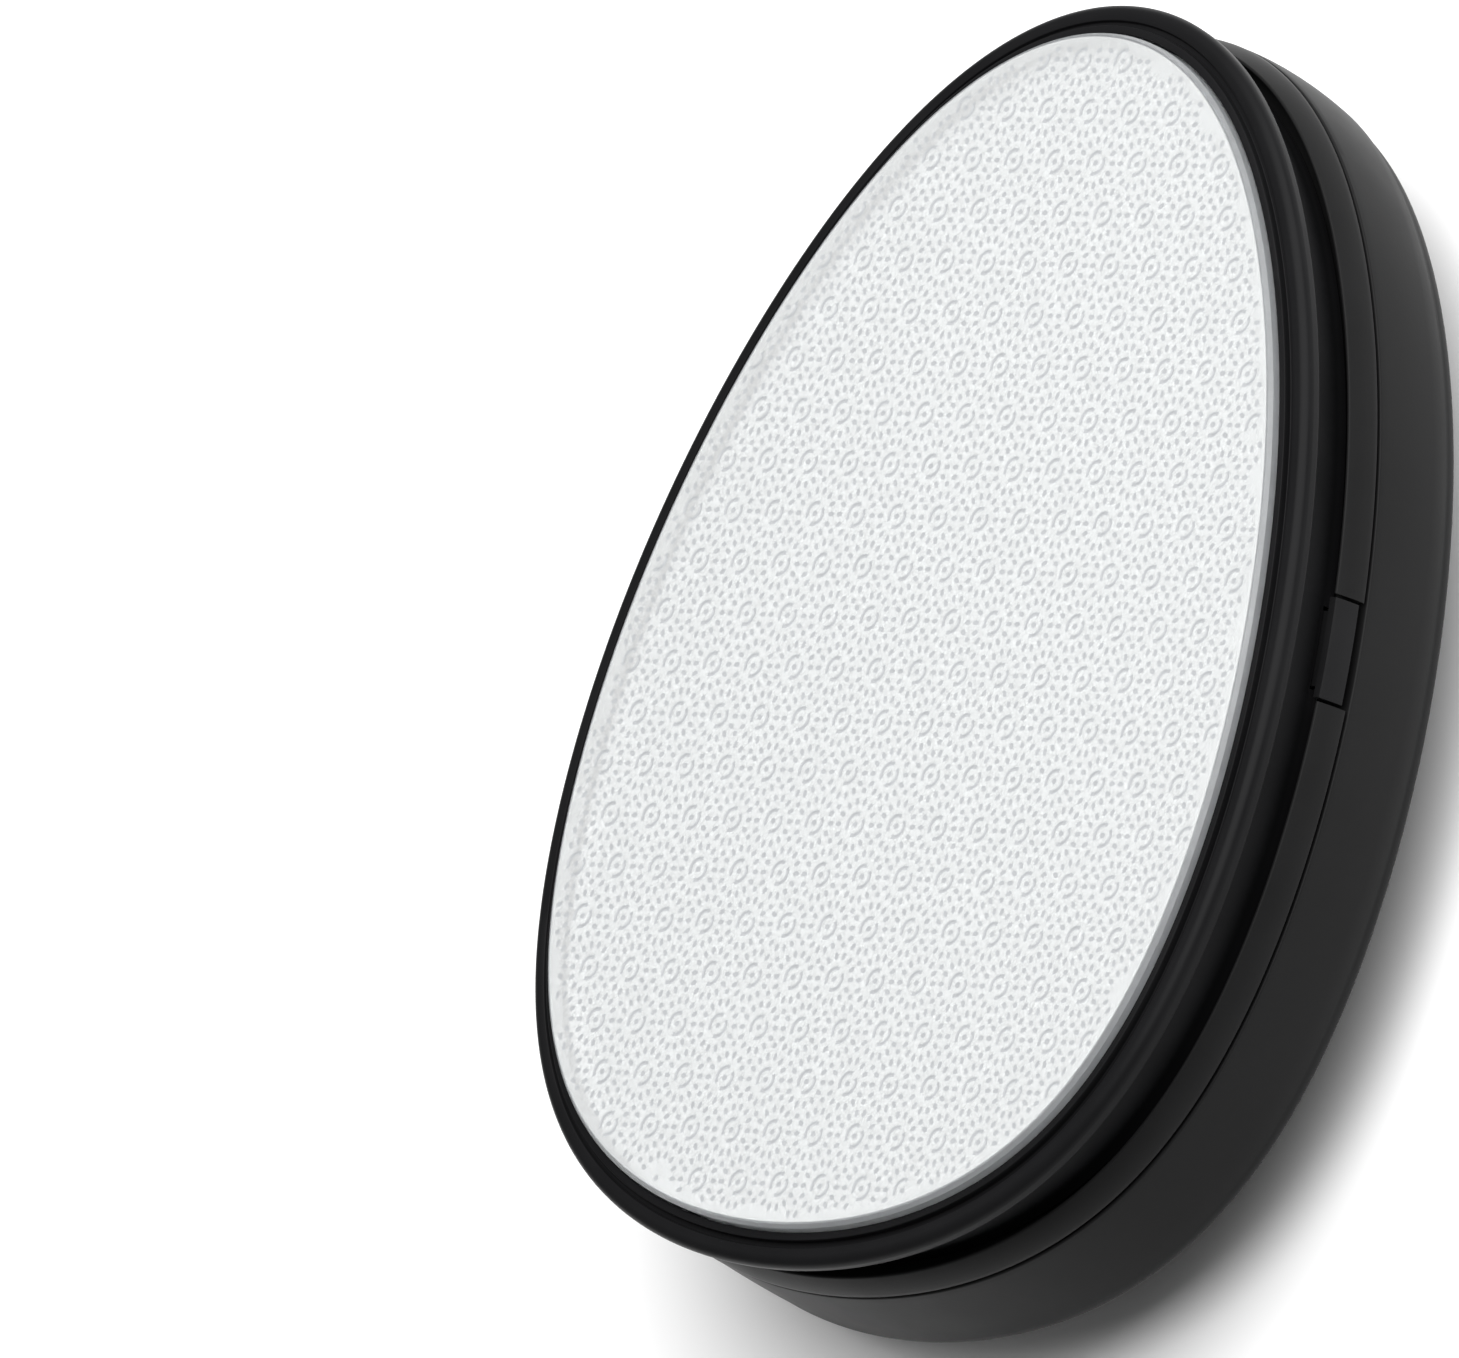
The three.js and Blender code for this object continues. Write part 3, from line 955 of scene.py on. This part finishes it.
def make_tab(name, side, plastic):
    """Face plate flush with the band, web over the deck, and a leg beside the ledge."""
    head, tab = sizes("head"), sizes("tab")
    half, leg_half = tab.tab_length / 2, tab.tab_length / 2 - LEG_MARGIN
    web_top = bezel_low() + tab.tab_web
    piece = tab_band(0)
    combine(piece, tab_band(tab.tab_face), "DIFFERENCE")
    top = PARTING + head.collar_height + MM
    combine(piece, beside_tab(side, half, -PAST, PAST, PARTING, top), "INTERSECT")
    web = beside_tab(side, leg_half, -PAST, leg_inner(), bezel_low(), web_top)
    combine(web, tab_band(0.1 * MM), "INTERSECT")
    combine(piece, web, "UNION")
    leg = beside_tab(side, leg_half, leg_outer(), leg_inner(), PARTING - tab.leg_depth, web_top)
    combine(piece, leg, "UNION")
    round_edges(piece, tab.edge_radius)
    piece.name = piece.data.name = name
    piece.data.materials.clear()
    piece.data.materials.append(plastic)
    shade(piece)
    even_normals(piece)
    return piece


class FOOTFILE_OT_tabs(bpy.types.Operator):
    """Make the two release tabs"""

    bl_idname = "footfile.tabs"
    bl_label = "Release tabs"

    def execute(self, context):
        plastic = satin_plastic("black tab", sizes("finish").tab, 0.4)
        for place_name, side in TAB_SIDES:
            piece = make_tab(place_name + "_tab", side, plastic)
            place(piece, "tab_" + place_name, "dark_plastic", "release_tab_" + place_name)
        return {"FINISHED"}


# ---- Screws -------------------------------------------------------------------------------------


def screw_profile():
    """Half outline of a pan-head screw with its head down, as (radius, z)."""
    head, tab = sizes("head"), sizes("tab")
    seat = PARTING + head.deck_top - head.deck_thickness - GAP
    height = 1.5 * MM
    tip = bezel_floor_top() - 0.5 * MM
    pan = arc((0, seat - height * 0.35), (tab.screw_head, height * 0.65), -88, 0, 10)
    thread = []
    turns = 7
    low = seat + 0.2 * MM
    step = (tip - 0.5 * MM - low) / turns
    for i in range(turns):
        thread.append((tab.screw_radius, low + step * (i + 0.3)))
        thread.append((tab.screw_radius * 0.82, low + step * (i + 0.8)))
    return [
        *pan,
        (tab.screw_head, seat),
        (tab.screw_radius * 0.9, seat),
        *thread,
        (tab.screw_radius * 0.5, tip),
    ]


def make_screw(name, x, y, metal):
    profile, angles = screw_profile(), even_angles(48)
    mesh = bmesh.new()
    loops = []
    for radius, z in profile:
        loops.append([(x + radius * math.cos(a), y + radius * math.sin(a), z) for a in angles])
    skin(mesh, loops)
    piece = piece_from(name, mesh, metal)
    bottom = min(z for _, z in profile)
    arm, half, depth = 1.25 * MM, 0.24 * MM, 0.8 * MM
    for wide, deep in ((arm, half), (half, arm)):
        cut = box_piece((x - wide, y - deep, bottom - MM), (x + wide, y + deep, bottom + depth))
        combine(piece, cut, "DIFFERENCE")
    shade(piece)
    return piece


class FOOTFILE_OT_screws(bpy.types.Operator):
    """Make the screws that hold the bezel on the head frame"""

    bl_idname = "footfile.screws"
    bl_label = "Screws"

    def execute(self, context):
        metal = zinc("zinc-plated steel", sizes("finish").metal)
        for i, (x, y, _) in enumerate(screw_places(), start=1):
            piece = make_screw(f"pan_head_screw_{i}", x, y, metal)
            place(piece, "head", "steel", f"bezel_screw_{i}")
        return {"FINISHED"}


# ---- Stage --------------------------------------------------------------------------------------

CAMERA_BACK = Vector((-0.1744, -0.7505, 0.6375))
CAMERA_UP = Vector((0.9459, 0.0521, 0.3201))
CAMERA_REACH = 4
VIEW_WIDTH = 111.78 * MM  # what the picture shows across, at the file
FLOOR_RADIUS = 12
KEY_LIGHT_PLACE = (0.5, -0.35, 1.0)
KEY_LIGHT_SIZE = 1.7
KEY_LIGHT_WATTS = 41
WORLD_STRENGTH = 0.22
# Middle of the picture, right and up from the middle of the parting plane.
VIEW_SHIFT = (-22.11 * MM, -0.99 * MM)


def soft_light(name, place_at, aim, size, watts):
    data = bpy.data.lights.new(name, "AREA")
    data.shape = "RECTANGLE"
    data.size, data.size_y = size, size
    data.energy = watts
    light = bpy.data.objects.new(name, data)
    light.location = place_at
    light.rotation_mode = "QUATERNION"
    light.rotation_quaternion = (Vector(place_at) - Vector(aim)).to_track_quat("Z", "Y")
    bpy.context.scene.collection.objects.link(light)


def add_camera():
    back = CAMERA_BACK.normalized()
    right = CAMERA_UP.cross(back).normalized()
    up = back.cross(right)
    aim = Vector((0, 0, PARTING)) + right * VIEW_SHIFT[0] + up * VIEW_SHIFT[1]
    data = bpy.data.cameras.new("camera")
    data.lens = data.sensor_width * CAMERA_REACH / VIEW_WIDTH
    data.clip_start, data.clip_end = 0.05, 20
    camera = bpy.data.objects.new("camera", data)
    turn = Matrix((right, up, back)).transposed().to_4x4()
    camera.matrix_world = Matrix.Translation(aim + back * CAMERA_REACH) @ turn
    bpy.context.scene.collection.objects.link(camera)
    bpy.context.scene.camera = camera


def add_floor():
    mesh = bmesh.new()
    bmesh.ops.create_circle(mesh, cap_ends=True, segments=96, radius=FLOOR_RADIUS)
    floor = piece_from("studio_floor", mesh, studio_floor("pale floor", sizes("finish").floor))


class FOOTFILE_OT_stage(bpy.types.Operator):
    """Set up the pale floor, the soft studio light and the camera"""

    bl_idname = "footfile.stage"
    bl_label = "Stage"

    def execute(self, context):
        scene = context.scene
        scene.view_settings.view_transform = "Standard"
        world = bpy.data.worlds.new("soft studio")
        world.use_nodes = True
        background = world.node_tree.nodes["Background"]
        background.inputs["Color"].default_value = (1, 1, 1, 1)
        background.inputs["Strength"].default_value = WORLD_STRENGTH
        scene.world = world
        aim = (0, 0, PARTING)
        soft_light("key light", KEY_LIGHT_PLACE, aim, KEY_LIGHT_SIZE, KEY_LIGHT_WATTS)
        add_floor()
        add_camera()
        return {"FINISHED"}


# ---- Panel and running order --------------------------------------------------------------------

MAKERS = (
    FOOTFILE_OT_stage,
    FOOTFILE_OT_grip,
    FOOTFILE_OT_head_frame,
    FOOTFILE_OT_bezel,
    FOOTFILE_OT_backing,
    FOOTFILE_OT_glass,
    FOOTFILE_OT_tabs,
    FOOTFILE_OT_screws,
)


class FOOTFILE_PT_panel(bpy.types.Panel):
    """Sizes, finishes and makers of the foot file"""

    bl_idname = "FOOTFILE_PT_panel"
    bl_label = "Foot File"
    bl_space_type = "VIEW_3D"
    bl_region_type = "UI"
    bl_category = "Foot File"

    def draw(self, context):
        layout = self.layout
        for maker in MAKERS:
            layout.operator(maker.bl_idname)
        for name, group in GROUPS.items():
            box = layout.box()
            box.label(text=name.capitalize())
            for field in group.__annotations__:
                box.prop(sizes(name), field)


def register():
    for group in GROUPS.values():
        bpy.utils.register_class(group)
    for name, group in GROUPS.items():
        setattr(bpy.types.Scene, "foot_file_" + name, PointerProperty(type=group))
    for maker in MAKERS:
        bpy.utils.register_class(maker)
    bpy.utils.register_class(FOOTFILE_PT_panel)


def unregister():
    bpy.utils.unregister_class(FOOTFILE_PT_panel)
    for maker in reversed(MAKERS):
        bpy.utils.unregister_class(maker)
    for name in GROUPS:
        delattr(bpy.types.Scene, "foot_file_" + name)
    for group in reversed(GROUPS.values()):
        bpy.utils.unregister_class(group)


def main():
    register()
    for maker in MAKERS:
        group, name = maker.bl_idname.split(".")
        getattr(getattr(bpy.ops, group), name)()


if __name__ == "__main__":
    main()
